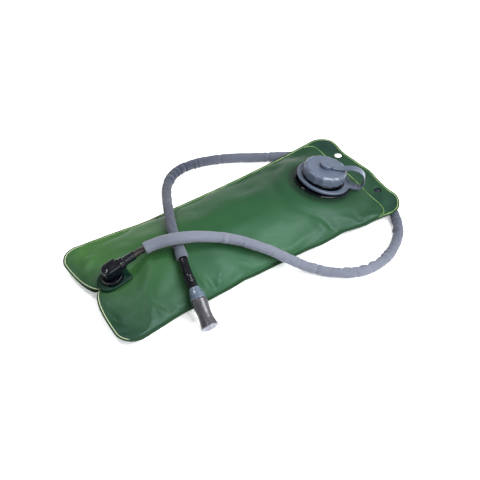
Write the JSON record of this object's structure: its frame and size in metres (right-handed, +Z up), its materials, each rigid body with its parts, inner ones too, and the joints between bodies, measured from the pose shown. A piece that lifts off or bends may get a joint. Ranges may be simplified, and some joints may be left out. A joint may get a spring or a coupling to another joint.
{
  "type": "hydration bladder",
  "caption": "Flexible drinking water reservoir of welded film with a tethered screw cap, a right-angle outlet, and a sleeved drink tube ending in a push-pull bite valve.",
  "frame": {"origin": "on the surface that the bag lies on, under the middle of the bag", "axes": "+X along the bag from its outlet end to its filler end, +Z up through the bag's thickness"},
  "size_m": [0.421, 0.3036, 0.068],
  "materials": {
    "film": "semi-gloss welded polyurethane film, faintly translucent",
    "outlet_base": "satin moulded",
    "slate_plastic": "satin moulded",
    "black_plastic": "semi-gloss moulded",
    "tube": "glossy extruded",
    "sleeve": "woven",
    "clear_plastic": "translucent moulded",
    "silicone": "glossy moulded silicone",
    "seal": "matte"
  },
  "bodies": {
    "root": {"upper_film": "film", "lower_film": "film", "header_strip": "film", "filler_neck": "black_plastic", "outlet_patch": "outlet_base", "outlet_socket": "black_plastic", "drink_tube": "tube", "tube_sleeve": "sleeve", "bite_boot": "black_plastic", "bite_collar": "clear_plastic", "bite_stem": "clear_plastic", "bite_seal": "seal"},
    "tether": {"tether_ring": "slate_plastic", "tether_strap": "slate_plastic"},
    "tether_end": {"tether_eye": "slate_plastic"},
    "cap": {"cap_shell": "slate_plastic", "cap_gasket": "seal", "cap_button": "slate_plastic"},
    "elbow": {"elbow_body": "black_plastic", "elbow_seal": "seal", "hose_nut": "black_plastic", "outlet_boot": "black_plastic"},
    "bite": {"mouthpiece": "silicone"}
  },
  "joints": [
    {"name": "tether_swivel", "type": "hinge", "parent": "root", "child": "tether", "pos_m": [0.1363, 0, 0.0292], "axis": [0.225, 0, 0.9744], "range_deg": [-30, 30]},
    {"name": "cap_rise", "type": "slide", "parent": "tether", "child": "tether_end", "axis": [0.225, 0, 0.9744], "range_m": [0, 0.006], "deforming": ["tether_strap"]},
    {"name": "cap_turn", "type": "hinge", "parent": "tether_end", "child": "cap", "pos_m": [0.1363, 0, 0.0292], "axis": [0.225, 0, 0.9744], "range_deg": [0, 540]},
    {"name": "elbow_swivel", "type": "hinge", "parent": "root", "child": "elbow", "pos_m": [-0.1736, 0.0042, 0.026], "axis": [-0.1959, 0, 0.9806], "range_deg": [-12, 12], "deforming": ["drink_tube"]},
    {"name": "bite_pull", "type": "slide", "parent": "root", "child": "bite", "axis": [-0.1338, -0.896, -0.4235], "range_m": [0, 0.004]}
  ],
  "couplings": [
    {"joint": "cap_rise", "follows": "cap_turn", "m_per_rad": 0.00063662}
  ]
}
